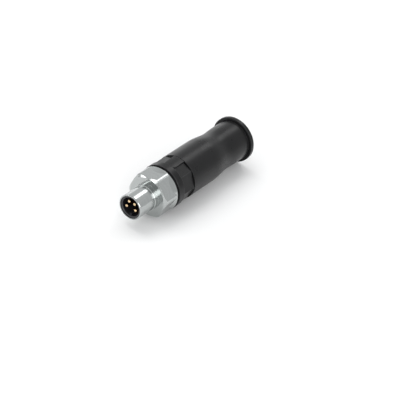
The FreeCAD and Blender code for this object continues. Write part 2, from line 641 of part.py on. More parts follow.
def make_pad(body):
    """Raised pad on the top corner of the grip, trimmed to the grip's own circle."""
    pad_front = f"({GRIP_FRONT} + relief_length)"
    side = "pad_width / 2"
    corner = f"{pad_front} + pad_corner_radius"
    sketch = sketch_on(body, "XY_Plane", "pad_outline", "thread_diameter / 2")
    outline(sketch, [
        (corner, f"-1 * {side}"),
        (SEAM, f"-1 * {side}"),
        (SEAM, side),
        (corner, side),
        (pad_front, f"{side} - pad_corner_radius"),
        (pad_front, f"pad_corner_radius - {side}"),
    ], bowed={3: "pad_corner_radius", 5: "pad_corner_radius"})
    pad(body, sketch, "pad", f"{PLUG_RADIUS} - thread_diameter / 2")
    grooved(body, "pad_crown", [
        (GRIP_FRONT, PLUG_RADIUS),
        (SEAM, PLUG_RADIUS),
        (SEAM, "plug_diameter"),
        (GRIP_FRONT, "plug_diameter"),
    ])


def make_clamping_cage():
    """Plastic cage whose fingers close on the cable seal."""
    body = new_body("clamping_cage")
    pilot = "spigot_bore / 2 - cage_pilot_fit"
    turned(body, [
        (f"{SPIGOT_REAR} - cage_pilot_length", "cage_bore / 2"),
        (f"{SPIGOT_REAR} - cage_pilot_length", pilot),
        (SPIGOT_REAR, pilot),
        (SPIGOT_REAR, "cage_base_diameter / 2"),
        (CAGE_BASE_REAR, "cage_base_diameter / 2"),
        (CAGE_BASE_REAR, "finger_diameter / 2"),
        (FINGER_BEVEL, "finger_diameter / 2"),
        (FINGER_REAR, "finger_tip_diameter / 2"),
        (FINGER_REAR, "finger_bore / 2"),
        (SEAL_SHOULDER, "finger_bore / 2"),
        (SEAL_SHOULDER, "cage_bore / 2"),
    ])
    sketch = sketch_on(body, "XY_Plane", "finger_slot_outline", "finger_diameter / 2")
    box_outline(sketch, f"{CAGE_BASE_REAR} + finger_slot_place", f"{FINGER_REAR} + finger_slot_place",
                "-1 * finger_slot_width / 2", "finger_slot_width / 2")
    slot = pocket(body, sketch, "finger_slot", "finger_diameter / 2")
    repeated(body, slot, "finger_slots", FINGER_COUNT)
    return body


def make_cable_seal():
    body = new_body("cable_seal")
    front = SEAL_SHOULDER
    rear = f"({SEAL_SHOULDER} + cable_seal_length)"
    outer = "finger_bore / 2 - cable_seal_fit"
    turned(body, [
        (front, "cable_seal_mouth / 2"),
        (front, outer),
        (rear, outer),
        (rear, "cable_seal_mouth / 2"),
        (f"{rear} - cable_seal_flare", "cable_seal_bore / 2"),
        (f"{front} + cable_seal_flare", "cable_seal_bore / 2"),
    ])
    return body


def make_pressure_ring():
    body = new_body("pressure_ring")
    turned(body, [
        (RING_FRONT, "ring_bore / 2"),
        (RING_FRONT, "ring_diameter / 2"),
        (RING_REAR, "ring_diameter / 2"),
        (RING_REAR, "ring_bore / 2"),
    ])
    return body


def make_rear_sleeve():
    """Long black sleeve with taper, waist, flare and rear lip; threaded inside."""
    body = new_body("rear_sleeve")
    seal_bore_rear = f"({REAR_FRONT} + seal_bore_length)"
    thread_radius = "(thread_diameter / 2 + thread_fit)"
    thread_rear = f"({SPIGOT_REAR} + thread_runout)"
    cavity_radius = "(cage_base_diameter / 2 + cage_room)"
    pocket_radius = "(ring_diameter / 2 + ring_fit)"
    pocket_floor = f"({RING_REAR} + ring_bearing)"
    turning = turned(body, [
        (REAR_FRONT, SEAL_BORE_RADIUS),
        (REAR_FRONT, f"{REAR_RADIUS} - rear_bevel"),
        (f"{REAR_FRONT} + rear_bevel", REAR_RADIUS),
        (TAPER_FRONT, REAR_RADIUS),
        (WAIST_FRONT, WAIST_RADIUS),
        (FLARE_FRONT, WAIST_RADIUS),
        (TAIL_FRONT, TAIL_RADIUS),
        (f"{LIP_FRONT} - relief_width", TAIL_RADIUS),
        (f"{LIP_FRONT} - relief_width", f"{TAIL_RADIUS} - relief_depth"),
        (LIP_FRONT, f"{TAIL_RADIUS} - relief_depth"),
        (LIP_FRONT, LIP_RADIUS),
        (LIP_REAR, LIP_RADIUS),
        (LIP_REAR, "mouth_diameter / 2"),
        (f"{LIP_REAR} - mouth_length", "cable_bore / 2"),
        (pocket_floor, "cable_bore / 2"),
        (pocket_floor, pocket_radius),
        (RING_FRONT, pocket_radius),
        (FINGER_REAR, "finger_tip_diameter / 2 + cage_room"),
        (FINGER_BEVEL, "finger_diameter / 2 + cage_room"),
        (f"{FINGER_BEVEL} - cone_length", cavity_radius),
        (thread_rear, cavity_radius),
        (thread_rear, thread_radius),
        (seal_bore_rear, thread_radius),
        (seal_bore_rear, SEAL_BORE_RADIUS),
    ])

    def lip_edge(edge):
        return any(is_circle_at(place, LIP_RADIUS)(edge) for place in (LIP_FRONT, LIP_REAR))

    rounded(body, turning, "lip_rounding", lip_edge, "lip_radius")
    return body


subparts = [make_coupling_sleeve(), make_retaining_clip()]
subparts.append(make_ring_seal("coupling_seal", COUPLING_SEAL, COUPLING_GROOVE, "coupling_seal_thickness"))
subparts.append(make_socket_shroud())
subparts.append(make_contact_carrier())
subparts.append(make_terminal_block())
subparts += [make_contact_pin(index) for index in range(PIN_COUNT)]
subparts += [make_terminal_screw(index) for index in range(PIN_COUNT)]
subparts += [make_carrier_clip(), make_front_housing()]
subparts.append(make_ring_seal("housing_seal", HOUSING_SEAL, HOUSING_GROOVE, "housing_seal_thickness"))
subparts += [make_clamping_cage(), make_cable_seal(), make_pressure_ring(), make_rear_sleeve()]
document.recompute()

failed = [item.Name for item in document.Objects if {"Invalid", "Error"} & set(item.State)]
failed += [part.Label for part in subparts if part.Shape.isNull() or not part.Shape.isValid()]
if failed:
    raise RuntimeError("these objects failed: " + ", ".join(failed))

os.makedirs("parts", exist_ok=True)
for part in subparts:
    part.Shape.exportStep(f"parts/{part.Label}.step")
    box = part.Shape.BoundBox
    print(f"{part.Label}: {len(part.Shape.Solids)} solid, {part.Shape.Volume:.3f} mm3, "
          f"X {box.XMin:.2f} to {box.XMax:.2f}, Z {box.ZMin:.2f} to {box.ZMax:.2f}")
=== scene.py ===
"""Looks of a field-attachable circular plug: finishes, thread, studio light and camera.

The plug lies along X. Its front rim is at X = 0, its cable entry at the largest X.
Lengths are in metres, and mm turns a size in millimetres into metres.
"""
import json
import math

import bmesh
import bpy
from mathutils import Matrix, Vector


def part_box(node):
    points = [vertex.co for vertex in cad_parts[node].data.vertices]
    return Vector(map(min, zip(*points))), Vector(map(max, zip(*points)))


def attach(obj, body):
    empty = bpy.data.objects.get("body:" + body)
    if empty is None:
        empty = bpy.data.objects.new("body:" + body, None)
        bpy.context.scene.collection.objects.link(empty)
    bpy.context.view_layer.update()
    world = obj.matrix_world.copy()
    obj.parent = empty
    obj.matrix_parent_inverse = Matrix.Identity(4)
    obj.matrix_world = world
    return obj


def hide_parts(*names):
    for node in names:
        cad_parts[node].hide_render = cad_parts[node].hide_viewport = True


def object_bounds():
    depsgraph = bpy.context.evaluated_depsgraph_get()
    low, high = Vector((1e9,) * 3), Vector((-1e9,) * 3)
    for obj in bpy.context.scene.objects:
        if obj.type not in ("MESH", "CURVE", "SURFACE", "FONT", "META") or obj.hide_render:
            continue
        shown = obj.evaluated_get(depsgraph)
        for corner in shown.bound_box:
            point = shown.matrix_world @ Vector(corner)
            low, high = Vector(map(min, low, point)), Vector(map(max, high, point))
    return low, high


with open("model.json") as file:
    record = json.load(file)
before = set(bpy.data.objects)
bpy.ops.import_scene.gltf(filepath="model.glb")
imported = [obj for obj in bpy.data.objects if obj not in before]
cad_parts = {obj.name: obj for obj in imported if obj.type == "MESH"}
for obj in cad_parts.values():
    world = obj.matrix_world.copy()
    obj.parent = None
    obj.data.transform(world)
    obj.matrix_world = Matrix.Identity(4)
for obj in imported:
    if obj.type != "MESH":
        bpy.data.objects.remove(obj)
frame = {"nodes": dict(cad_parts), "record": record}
cad_low, cad_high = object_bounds()
mm = 0.001
micron = 0.001 * mm

# Camera: where the photograph was taken from, as seen from the middle of the front rim
CAMERA_AZIMUTH = -56.5
CAMERA_ELEVATION = 37.1
CAMERA_ROLL = 8.8
CAMERA_DISTANCE = 580 * mm
SENSOR_WIDTH = 36.0
PICTURE_SIZE = 400
PIXELS_PER_MM_AT_RIM = 3.475
RIM_CENTRE_PIXEL = (130.0, 207.5)

# Brightness of the room in reflections, where 1 is the white of the picture
HORIZON_LIGHT = 1.7
ROOM_LIGHT = 0.86
NEAR_LIGHT = 0.66
ROOM_COLOUR = (0.985, 0.995, 1.0)
WHITE = (1.0, 1.0, 1.0)
# Level direction that leads away from the camera, behind the plug
BEHIND = (0.83, 0.55)
# How far a direction points behind: where the room starts and ends to brighten
NEAR_TO_ROOM = (-0.3, 0.7)
ROOM_TO_HORIZON = (0.45, 0.85)
# How high a direction points: the bright horizon ends between these
HORIZON_TO_SKY = (0.05, 0.3)

# Floor, and lamps round the middle of the plug
FLOOR_SIZE = 1.8
FLOOR_COLOUR = (0.88, 0.88, 0.88)
FLOOR_GLOW = 0.05
LAMP_TARGET = (0.022, 0, 0)
LAMP_DISTANCE = 0.6

# Wear along the edges, together with a painted highlight on them: its strength, its width in edge radii,
# and how much paler it is
METAL_WEAR_AND_HIGHLIGHT = 0.6
METAL_WEAR_AND_HIGHLIGHT_WIDTH = 2.0
METAL_WEAR_AND_HIGHLIGHT_GAIN = 1.25
PLASTIC_WEAR_AND_HIGHLIGHT = 0.7
PLASTIC_WEAR_AND_HIGHLIGHT_WIDTH = 1.8
PLASTIC_WEAR_AND_HIGHLIGHT_GAIN = 6.0
# Match of the rounded with the plain normal, where the paler edge of wear and painted highlight starts and
# where it is full
WEAR_AND_HIGHLIGHT_STARTS = 0.998
WEAR_AND_HIGHLIGHT_FULL = 0.93
EDGE_SAMPLES = 6
WEAR_AND_HIGHLIGHT_SAMPLES = 4

# Cloudy marks of handling: the size of a cloud in mm, and how strong the marks are
METAL_CLOUD = 3.0
PLASTIC_CLOUD = 4.0
HANDLED = 0.25
CLEAN_BELOW = 0.45
MOST_TOUCHED = 0.25
TOUCH_SOFTNESS = 0.1

# Lathe marks: how cones and faces join the rings, and the share of the broad bands
RADIUS_SHARE = 1.7
BAND_SCALE = 0.14
FINE_SHARE = 0.35
BROAD_SHARE = 0.65

# Pins: a painted highlight as pale colour at the tips, and a painted red-brown glow as warmer colour down
# the shank
HIGHLIGHT_TIP_COLOUR = (0.8, 0.6, 0.36)
HIGHLIGHT_TIP_LENGTH = 0.3 * mm
HIGHLIGHT_TIP_BLEND = 0.3
GLOW_SHANK_COLOUR = (0.7, 0.3, 0.1)
GLOW_SHANK_LENGTH = 1.6 * mm

# Shading breaks at edges sharper than this, and vertices this near are one
SHARP_ANGLE = math.radians(22)
SAME_PLACE = 0.0002 * mm

# Slopes in which the flats of the hexagonal collar end
COLLAR_RIM_LENGTH = 0.2 * mm
COLLAR_FLAT_RADIUS = 6.3 * mm
COLLAR_FLAT_MARGIN = 0.05 * mm
COLLAR_RADIUS_SHOWN = 7.025 * mm
COLLAR_WALL_MARGIN = 0.002 * mm
RUN_OUT_STEPS = 15
RUN_OUT_SLOPE = 2.0

# The stretch of the rear sleeve whose taper, waist and flare flow into each other
BLEND_START = 32.8 * mm
BLEND_END = 46.8 * mm
BLEND_STEPS = 36
BLEND_REACH = 1.7 * mm
BLEND_SAMPLES = 17
BLEND_SHORTEST_STRETCH = 1.0 * mm
REAR_WALL_OUTSIDE = 6.0 * mm
SEAM_CHAMFER = 0.25 * mm

# Straight pieces of a turn of thread or rib
STEPS_ROUND = 72

# Thread on the spigot of the front housing
SPIGOT_RADIUS = 5.3 * mm
SPIGOT_THREAD_FRONT = 23.4 * mm
SPIGOT_THREAD_LENGTH = 5.4 * mm
THREAD_PITCH = 1.0 * mm
THREAD_CREST = 0.035 * mm
THREAD_SIDES = 8

# Ribs in the waist of the cable seal
SEAL_BORE_RADIUS = 2.1 * mm
SEAL_FLARE = 1.6 * mm
SEAL_RIB = 0.16 * mm
SEAL_RIBS = 4
SEAL_RIB_SIDES = 12


def node_tree(owner):
    """The emptied node tree of a material or a world."""
    owner.use_nodes = True
    tree = owner.node_tree
    tree.nodes.clear()
    return tree


def feed(tree, socket, value):
    """Feeds a socket from another socket, or sets it to a number or a colour."""
    if isinstance(value, bpy.types.NodeSocket):
        tree.links.new(value, socket)
    elif isinstance(value, tuple):
        socket.default_value = (*value, 1)
    else:
        socket.default_value = value


def maths(tree, operation, *values):
    """A Math node whose inputs are sockets or numbers; gives its output socket."""
    node = tree.nodes.new("ShaderNodeMath")
    node.operation = operation
    for socket, value in zip(node.inputs, values):
        feed(tree, socket, value)
    return node.outputs[0]


def mapped(tree, value, low, high, first, last):
    """Brings a value from low..high smoothly to first..last, and holds it beyond."""
    node = tree.nodes.new("ShaderNodeMapRange")
    node.interpolation_type = "SMOOTHSTEP"
    for label, number in (("From Min", low), ("From Max", high), ("To Min", first), ("To Max", last)):
        node.inputs[label].default_value = number
    tree.links.new(value, node.inputs["Value"])
    return node.outputs["Result"]


def new_group(name, inputs, outputs):
    """An empty shader node group. Inputs are (name, default), outputs are names of values."""
    group = bpy.data.node_groups.new(name, "ShaderNodeTree")
    for label, default in inputs:
        socket = group.interface.new_socket(label, in_out="INPUT", socket_type="NodeSocketFloat")
        socket.default_value = default
    for label in outputs:
        group.interface.new_socket(label, in_out="OUTPUT", socket_type="NodeSocketFloat")
    return group, group.nodes.new("NodeGroupInput"), group.nodes.new("NodeGroupOutput")


def noise(tree, vector, scale, detail=2.0, roughness=0.5, dimensions="3D"):
    """A noise that spans about 0 to 1, over a place or along one value."""
    node = tree.nodes.new("ShaderNodeTexNoise")
    node.noise_dimensions = dimensions
    for name, value in (("Scale", scale), ("Detail", detail), ("Roughness", roughness)):
        feed(tree, node.inputs[name], value)
    tree.links.new(vector, node.inputs["W" if dimensions == "1D" else "Vector"])
    return node.outputs["Fac"]


def place_parts(tree):
    """The three numbers of a place on the plug, as value sockets."""
    where = tree.nodes.new("ShaderNodeTexCoord")
    parts = tree.nodes.new("ShaderNodeSeparateXYZ")
    tree.links.new(where.outputs["Object"], parts.inputs[0])
    return parts.outputs


def along_and_radius(tree):
    """Place along the plug's axis and distance from it, as value sockets."""
    along, across, up = place_parts(tree)
    square = maths(tree, "ADD", maths(tree, "MULTIPLY", across, across), maths(tree, "MULTIPLY", up, up))
    return along, maths(tree, "SQRT", square)


def turning_marks_group():
    """Fine rings left by the lathe on cylinders, cones and faces, with broader bands."""
    group, given, result = new_group(
        "turning_marks", [("Marks per mm", 9.0), ("Depth", 1.0)], ["Height", "Streaks"])
    along, radius = along_and_radius(group)
    path = maths(group, "ADD", along, maths(group, "MULTIPLY", radius, RADIUS_SHARE))
    scale = maths(group, "MULTIPLY", given.outputs["Marks per mm"], 1 / mm)
    fine = noise(group, path, scale, detail=3.0, roughness=0.6, dimensions="1D")
    slower = maths(group, "MULTIPLY", scale, BAND_SCALE)
    broad = noise(group, path, slower, detail=1.0, dimensions="1D")
    height = maths(group, "MULTIPLY", fine, given.outputs["Depth"])
    group.links.new(height, result.inputs["Height"])
    bands = maths(group, "MULTIPLY", broad, BROAD_SHARE)
    streaks = maths(group, "ADD", maths(group, "MULTIPLY", fine, FINE_SHARE), bands)
    group.links.new(streaks, result.inputs["Streaks"])
    return group


def moulded_grain_group():
    """Spark-eroded grain of a moulded part, and the slow unevenness of its gloss."""
    group, given, result = new_group(
        "moulded_grain", [("Grains per mm", 5.0), ("Patches per mm", 0.35)], ["Height", "Patches"])
    where = group.nodes.new("ShaderNodeTexCoord").outputs["Object"]
    grains = maths(group, "MULTIPLY", given.outputs["Grains per mm"], 1 / mm)
    fine = noise(group, where, grains, detail=2.0, roughness=0.55)
    patches = maths(group, "MULTIPLY", given.outputs["Patches per mm"], 1 / mm)
    slow = noise(group, where, patches, detail=3.0)
    group.links.new(fine, result.inputs["Height"])
    group.links.new(slow, result.inputs["Patches"])
    return group


def handling_group():
    """Faint cloudy marks of handling: 0 is clean, 1 is most touched."""
    group, given, result = new_group("handling_marks", [("Size", 2.5), ("Amount", 0.5)], ["Mask"])
    where = group.nodes.new("ShaderNodeTexCoord").outputs["Object"]
    scale = maths(group, "DIVIDE", 1 / mm, given.outputs["Size"])
    cloud = noise(group, where, scale, detail=4.0, roughness=0.62)
    above = maths(group, "MAXIMUM", maths(group, "SUBTRACT", cloud, CLEAN_BELOW), 0.0)
    spread = maths(group, "SMOOTH_MIN", above, MOST_TOUCHED, TOUCH_SOFTNESS)
    group.links.new(maths(group, "MULTIPLY", spread, given.outputs["Amount"]), result.inputs["Mask"])
    return group


def edge_wear_and_highlight_group():
    """Mask of edge wear and painted edge highlight, where an outer or inner edge lies within the radius: 0
    on plain faces, 1 at the edge.
    """
    group, given, result = new_group("edge_wear_and_highlight", [("Radius", 0.15), ("Amount", 1.0)], ["Mask"])
    rounded = group.nodes.new("ShaderNodeBevel")
    rounded.samples = WEAR_AND_HIGHLIGHT_SAMPLES
    group.links.new(maths(group, "MULTIPLY", given.outputs["Radius"], mm), rounded.inputs["Radius"])
    plain = group.nodes.new("ShaderNodeNewGeometry")
    match = group.nodes.new("ShaderNodeVectorMath")
    match.operation = "DOT_PRODUCT"
    group.links.new(rounded.outputs[0], match.inputs[0])
    group.links.new(plain.outputs["Normal"], match.inputs[1])
    turned_away = mapped(group, match.outputs["Value"], WEAR_AND_HIGHLIGHT_STARTS, WEAR_AND_HIGHLIGHT_FULL, 0.0, 1.0)
    group.links.new(maths(group, "MULTIPLY", turned_away, given.outputs["Amount"]), result.inputs["Mask"])
    return group


TURNING = turning_marks_group()
EDGE_WEAR_AND_HIGHLIGHT = edge_wear_and_highlight_group()
GRAIN = moulded_grain_group()
HANDLING = handling_group()


def placed(tree, group, **values):
    """A shader node group in a tree, with its named inputs set."""
    node = tree.nodes.new("ShaderNodeGroup")
    node.node_tree = group
    for name, value in values.items():
        node.inputs[name.replace("_", " ")].default_value = value
    return node


def blend_colours(tree, mask, first, second):
    """Colour that goes from first at mask 0 to second at mask 1."""
    node = tree.nodes.new("ShaderNodeMix")
    node.data_type = "RGBA"
    share, first_colour, second_colour = node.inputs[0], node.inputs[6], node.inputs[7]
    feed(tree, first_colour, first)
    feed(tree, second_colour, second)
    feed(tree, share, mask)
    return node.outputs[2]


def worn_and_highlit(tree, colour, pale, gain, radius, amount):
    """A colour that goes over to a brighter one along the edges: wear, and a painted highlight on the
    edges.
    """
    worn_and_highlit_colour = tuple(gain * part for part in pale)
    edges = placed(tree, EDGE_WEAR_AND_HIGHLIGHT, Radius=radius, Amount=amount)
    return blend_colours(tree, edges.outputs["Mask"], colour, worn_and_highlit_colour)


def between(tree, value, low, high):
    """A value that spans 0 to 1, brought to low to high."""
    return maths(tree, "MULTIPLY_ADD", value, high - low, low)


def surface(tree, colour, roughness, height, relief, edge_radius, **constants):
    """Principled surface with a bump of the given relief and edges rounded by edge_radius."""
    shader = tree.nodes.new("ShaderNodeBsdfPrincipled")
    for name, value in constants.items():
        shader.inputs[name.replace("_", " ")].default_value = value
    edge = tree.nodes.new("ShaderNodeBevel")
    edge.samples = EDGE_SAMPLES
    edge.inputs["Radius"].default_value = edge_radius
    bump = tree.nodes.new("ShaderNodeBump")
    bump.inputs["Distance"].default_value = relief
    tree.links.new(height, bump.inputs["Height"])
    tree.links.new(edge.outputs[0], bump.inputs["Normal"])
    tree.links.new(bump.outputs[0], shader.inputs["Normal"])
    tree.links.new(colour, shader.inputs["Base Color"])
    tree.links.new(roughness, shader.inputs["Roughness"])
    out = tree.nodes.new("ShaderNodeOutputMaterial")
    tree.links.new(shader.outputs[0], out.inputs["Surface"])


def painted_tip_highlights(tree, colour, front):
    """Colour of a pin whose tip is at front: a painted highlight makes the tip pale, and a painted
    red-brown glow makes it warmer down its shank.
    """
    along = place_parts(tree)["X"]
    steps = ((HIGHLIGHT_TIP_COLOUR, HIGHLIGHT_TIP_LENGTH, HIGHLIGHT_TIP_BLEND * HIGHLIGHT_TIP_LENGTH), (GLOW_SHANK_COLOUR, HIGHLIGHT_TIP_LENGTH, GLOW_SHANK_LENGTH))
    for goal, first, last in steps:
        mask = mapped(tree, along, front + first, front + last, 0.0, 1.0)
        colour = blend_colours(tree, mask, colour, goal)
    return colour


def turned_metal(name, light, dark, smooth, rough, marks_per_mm=9.0, depth=0.35, edge=0.07, tip=None):
    """Plated or plain turned metal: lathe marks of a depth in microns, uneven gloss and faint
    handling. The edges are rounded by edge mm; tip is where a pin's tip with its painted highlight starts."""
    material = bpy.data.materials.new(name)
    tree = node_tree(material)
    marks = placed(tree, TURNING, Marks_per_mm=marks_per_mm, Depth=1.0)
    touched = placed(tree, HANDLING, Size=METAL_CLOUD, Amount=HANDLED).outputs["Mask"]
    colour = blend_colours(tree, maths(tree, "ADD", marks.outputs["Streaks"], touched), light, dark)
    # Edges paler: wear, and a painted highlight along them
    colour = worn_and_highlit(tree, colour, light, METAL_WEAR_AND_HIGHLIGHT_GAIN, METAL_WEAR_AND_HIGHLIGHT_WIDTH * edge, METAL_WEAR_AND_HIGHLIGHT)
    if tip is not None:
        # Pins: painted highlight at the tip, painted red-brown glow down the shank
        colour = painted_tip_highlights(tree, colour, tip)
    roughness = maths(tree, "ADD", between(tree, marks.outputs["Streaks"], smooth, rough), touched)
    surface(tree, colour, roughness, marks.outputs["Height"], depth * micron, edge * mm, Metallic=1.0)
    return material


def moulded_plastic(name, base, pale, smooth, rough, grains_per_mm=6.0, depth=3.0, edge=0.06, specular=0.5):
    """Moulded plastic: eroded grain of a depth in microns, slightly uneven gloss, a paler cast
    where handled. The edges are rounded by edge mm."""
    material = bpy.data.materials.new(name)
    tree = node_tree(material)
    grain = placed(tree, GRAIN, Grains_per_mm=grains_per_mm)
    touched = placed(tree, HANDLING, Size=PLASTIC_CLOUD, Amount=HANDLED).outputs["Mask"]
    colour = blend_colours(tree, maths(tree, "ADD", grain.outputs["Patches"], touched), base, pale)
    # Edges paler: wear, and a painted highlight along them
    colour = worn_and_highlit(tree, colour, pale, PLASTIC_WEAR_AND_HIGHLIGHT_GAIN, PLASTIC_WEAR_AND_HIGHLIGHT_WIDTH * edge, PLASTIC_WEAR_AND_HIGHLIGHT)
    roughness = maths(tree, "SUBTRACT", between(tree, grain.outputs["Patches"], smooth, rough), touched)
    surface(tree, colour, roughness, grain.outputs["Height"], depth * micron, edge * mm,
            Specular_IOR_Level=specular)
    return material


def seal_rubber(name, base, pale, smooth, rough, depth=3.0, edge=0.05):
    """Black moulded rubber: dull, very fine grain, with a trace of grease."""
    material = bpy.data.materials.new(name)
    tree = node_tree(material)
    grain = placed(tree, GRAIN, Grains_per_mm=11.0, Patches_per_mm=1.2)
    colour = blend_colours(tree, grain.outputs["Patches"], base, pale)
    roughness = between(tree, grain.outputs["Patches"], smooth, rough)
    surface(tree, colour, roughness, grain.outputs["Height"], depth * micron, edge * mm)
    return material


MATERIALS = {
    "nickel": turned_metal(
        "satin_nickel", light=(0.475, 0.493, 0.488), dark=(0.42, 0.438, 0.433), smooth=0.12, rough=0.2),
    "steel": turned_metal(
        "bright_steel", light=(0.56, 0.57, 0.58), dark=(0.42, 0.43, 0.45), smooth=0.22, rough=0.4,
        marks_per_mm=14.0),
    "gold": turned_metal(
        "gold_plating", light=(0.66, 0.42, 0.18), dark=(0.5, 0.27, 0.1), smooth=0.1, rough=0.2,
        marks_per_mm=16.0, depth=0.2, edge=0.1, tip=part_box("contact_pin_1")[0].x),
    "black_plastic": moulded_plastic(
        "black_plastic", base=(0.0085, 0.0085, 0.009), pale=(0.012, 0.012, 0.0125), smooth=0.28, rough=0.36,
        grains_per_mm=5.0, depth=4.0, edge=0.12, specular=0.22),
    "insert_plastic": moulded_plastic(
        "insert_plastic", base=(0.014, 0.014, 0.016), pale=(0.018, 0.018, 0.0205), smooth=0.26, rough=0.4,
        grains_per_mm=7.0, depth=2.0),
    "cage_plastic": moulded_plastic(
        "cage_plastic", base=(0.16, 0.165, 0.17), pale=(0.22, 0.225, 0.23), smooth=0.38, rough=0.55,
        edge=0.08),
    "ring_plastic": moulded_plastic(
        "ring_plastic", base=(0.05, 0.05, 0.053), pale=(0.08, 0.08, 0.083), smooth=0.38, rough=0.55),
    "seal_rubber": seal_rubber(
        "seal_rubber", base=(0.012, 0.012, 0.013), pale=(0.03, 0.03, 0.031), smooth=0.45, rough=0.75),
}

for part in frame["record"]["subparts"]:
    node = frame["nodes"][part["node"]]
    for place in node.material_slots:
        place.material = MATERIALS[part["material_slot"]]


def grown_piece(name, tree, values, body):
    """A piece made by a Geometry Nodes tree, with its result kept as a plain mesh."""
    piece = bpy.data.objects.new(name, bpy.data.meshes.new(name + "_start"))
    bpy.context.scene.collection.objects.link(piece)
    grower = piece.modifiers.new("grower", "NODES")
    grower.node_group = tree
    for item in tree.interface.items_tree:
        if item.in_out == "INPUT" and item.name in values:
            grower[item.identifier] = values[item.name]
    known = bpy.context.evaluated_depsgraph_get()
    mesh = bpy.data.meshes.new_from_object(piece.evaluated_get(known))
    piece.modifiers.remove(grower)
    piece.data = mesh
    mesh.name = name
    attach(piece, body)


def new_growth(name, inputs):
    """An empty Geometry Nodes tree with number inputs; gives it, its input node and its end."""
    tree = bpy.data.node_groups.new(name, "GeometryNodeTree")
    for label, default in inputs:
        kind = "NodeSocketInt" if isinstance(default, int) else "NodeSocketFloat"
        tree.interface.new_socket(label, in_out="INPUT", socket_type=kind).default_value = default
    tree.interface.new_socket("Geometry", in_out="OUTPUT", socket_type="NodeSocketGeometry")
    return tree, tree.nodes.new("NodeGroupInput"), tree.nodes.new("NodeGroupOutput")


def finish_growth(tree, geometry, end, material):
    """Smooth shading, real copies and one material for what a Geometry Nodes tree makes."""
    smooth = tree.nodes.new("GeometryNodeSetShadeSmooth")
    real = tree.nodes.new("GeometryNodeRealizeInstances")
    painted = tree.nodes.new("GeometryNodeSetMaterial")
    painted.inputs["Material"].default_value = material
    tree.links.new(geometry, smooth.inputs["Geometry"])
    tree.links.new(smooth.outputs[0], real.inputs["Geometry"])
    tree.links.new(real.outputs[0], painted.inputs["Geometry"])
    tree.links.new(painted.outputs[0], end.inputs[0])


def tube_round_x(tree, path, thickness, sides):
    """A tube along a path drawn about Z, turned so that it lies about X."""
    section = tree.nodes.new("GeometryNodeCurvePrimitiveCircle")
    section.inputs["Resolution"].default_value = sides
    tree.links.new(thickness, section.inputs["Radius"])
    tube = tree.nodes.new("GeometryNodeCurveToMesh")
    tree.links.new(path, tube.inputs["Curve"])
    tree.links.new(section.outputs[0], tube.inputs["Profile Curve"])
    tube.inputs["Fill Caps"].default_value = True
    turn = tree.nodes.new("GeometryNodeTransform")
    turn.inputs["Rotation"].default_value = (0, math.radians(90), 0)
    tree.links.new(tube.outputs[0], turn.inputs["Geometry"])
    return turn.outputs[0]


def moved_along_x(tree, geometry, distance):
    """Geometry moved along the plug's axis by a distance socket."""
    shift = tree.nodes.new("GeometryNodeTransform")
    place = tree.nodes.new("ShaderNodeCombineXYZ")
    tree.links.new(distance, place.inputs["X"])
    tree.links.new(place.outputs[0], shift.inputs["Translation"])
    tree.links.new(geometry, shift.inputs["Geometry"])
    return shift.outputs[0]


def shade_by_angle(mesh, limit):
    """Smooth shading, broken at the edges that are sharper than the limit in radians."""
    shape = bmesh.new()
    shape.from_mesh(mesh)
    for face in shape.faces:
        face.smooth = True
    for edge in shape.edges:
        edge.smooth = edge.calc_face_angle(0.0) < limit
    shape.to_mesh(mesh)
    shape.free()


def merged_copy(name):
    """The mesh of a construction part as a bmesh, with its loose triangles joined."""
    shape = bmesh.new()
    shape.from_mesh(frame["nodes"][name].data)
    bmesh.ops.remove_doubles(shape, verts=shape.verts, dist=SAME_PLACE)
    return shape


def zip_faces(shape, first, second):
    """Triangles between two rows of vertices that run the same way and share both ends."""
    here, there = 0, 0
    while here < len(first) - 1 or there < len(second) - 1:
        ahead = here / (len(first) - 1)
        beside = there / (len(second) - 1)
        if there == len(second) - 1 or (here < len(first) - 1 and ahead <= beside):
            corners = (first[here], first[here + 1], second[there])
            here += 1
        else:
            corners = (first[here], second[there + 1], second[there])
            there += 1
        if len(set(corners)) == 3:
            shape.faces.new(corners)


def arc_beside(chord, rim_edges):
    """Vertices along the rim from one end of a chord to the other."""
    row = [chord.verts[0]]
    used = set()
    while row[-1] is not chord.verts[1]:
        onward = next(edge for edge in row[-1].link_edges if edge in rim_edges and edge not in used)
        used.add(onward)
        row.append(onward.other_vert(row[-1]))
    return row


def finished_piece(name, shape, slot, body, replaced):
    """A mesh that stands for a construction part, on the part's own body."""
    bmesh.ops.recalc_face_normals(shape, faces=shape.faces)
    mesh = bpy.data.meshes.new(name)
    shape.to_mesh(mesh)
    shape.free()
    shade_by_angle(mesh, SHARP_ANGLE)
    mesh.materials.append(MATERIALS[slot])
    piece = bpy.data.objects.new(name, mesh)
    bpy.context.scene.collection.objects.link(piece)
    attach(piece, body)
    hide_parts(replaced)


def blended(profile, place):
    """Mean radius over the reach of the blend, from a profile of rings in order along the axis.
    A stretch between two rings counts as no shorter than the shortest stretch."""
    total = 0.0
    for index in range(BLEND_SAMPLES):
        spot = place + BLEND_REACH * (2 * index / (BLEND_SAMPLES - 1) - 1)
        before = max((ring for ring in profile if ring[0] <= spot), default=profile[0])
        after = min((ring for ring in profile if ring[0] > spot), default=profile[-1])
        share = (spot - before[0]) / max(after[0] - before[0], BLEND_SHORTEST_STRETCH)
        total += before[1] + (after[1] - before[1]) * share
    return total / BLEND_SAMPLES


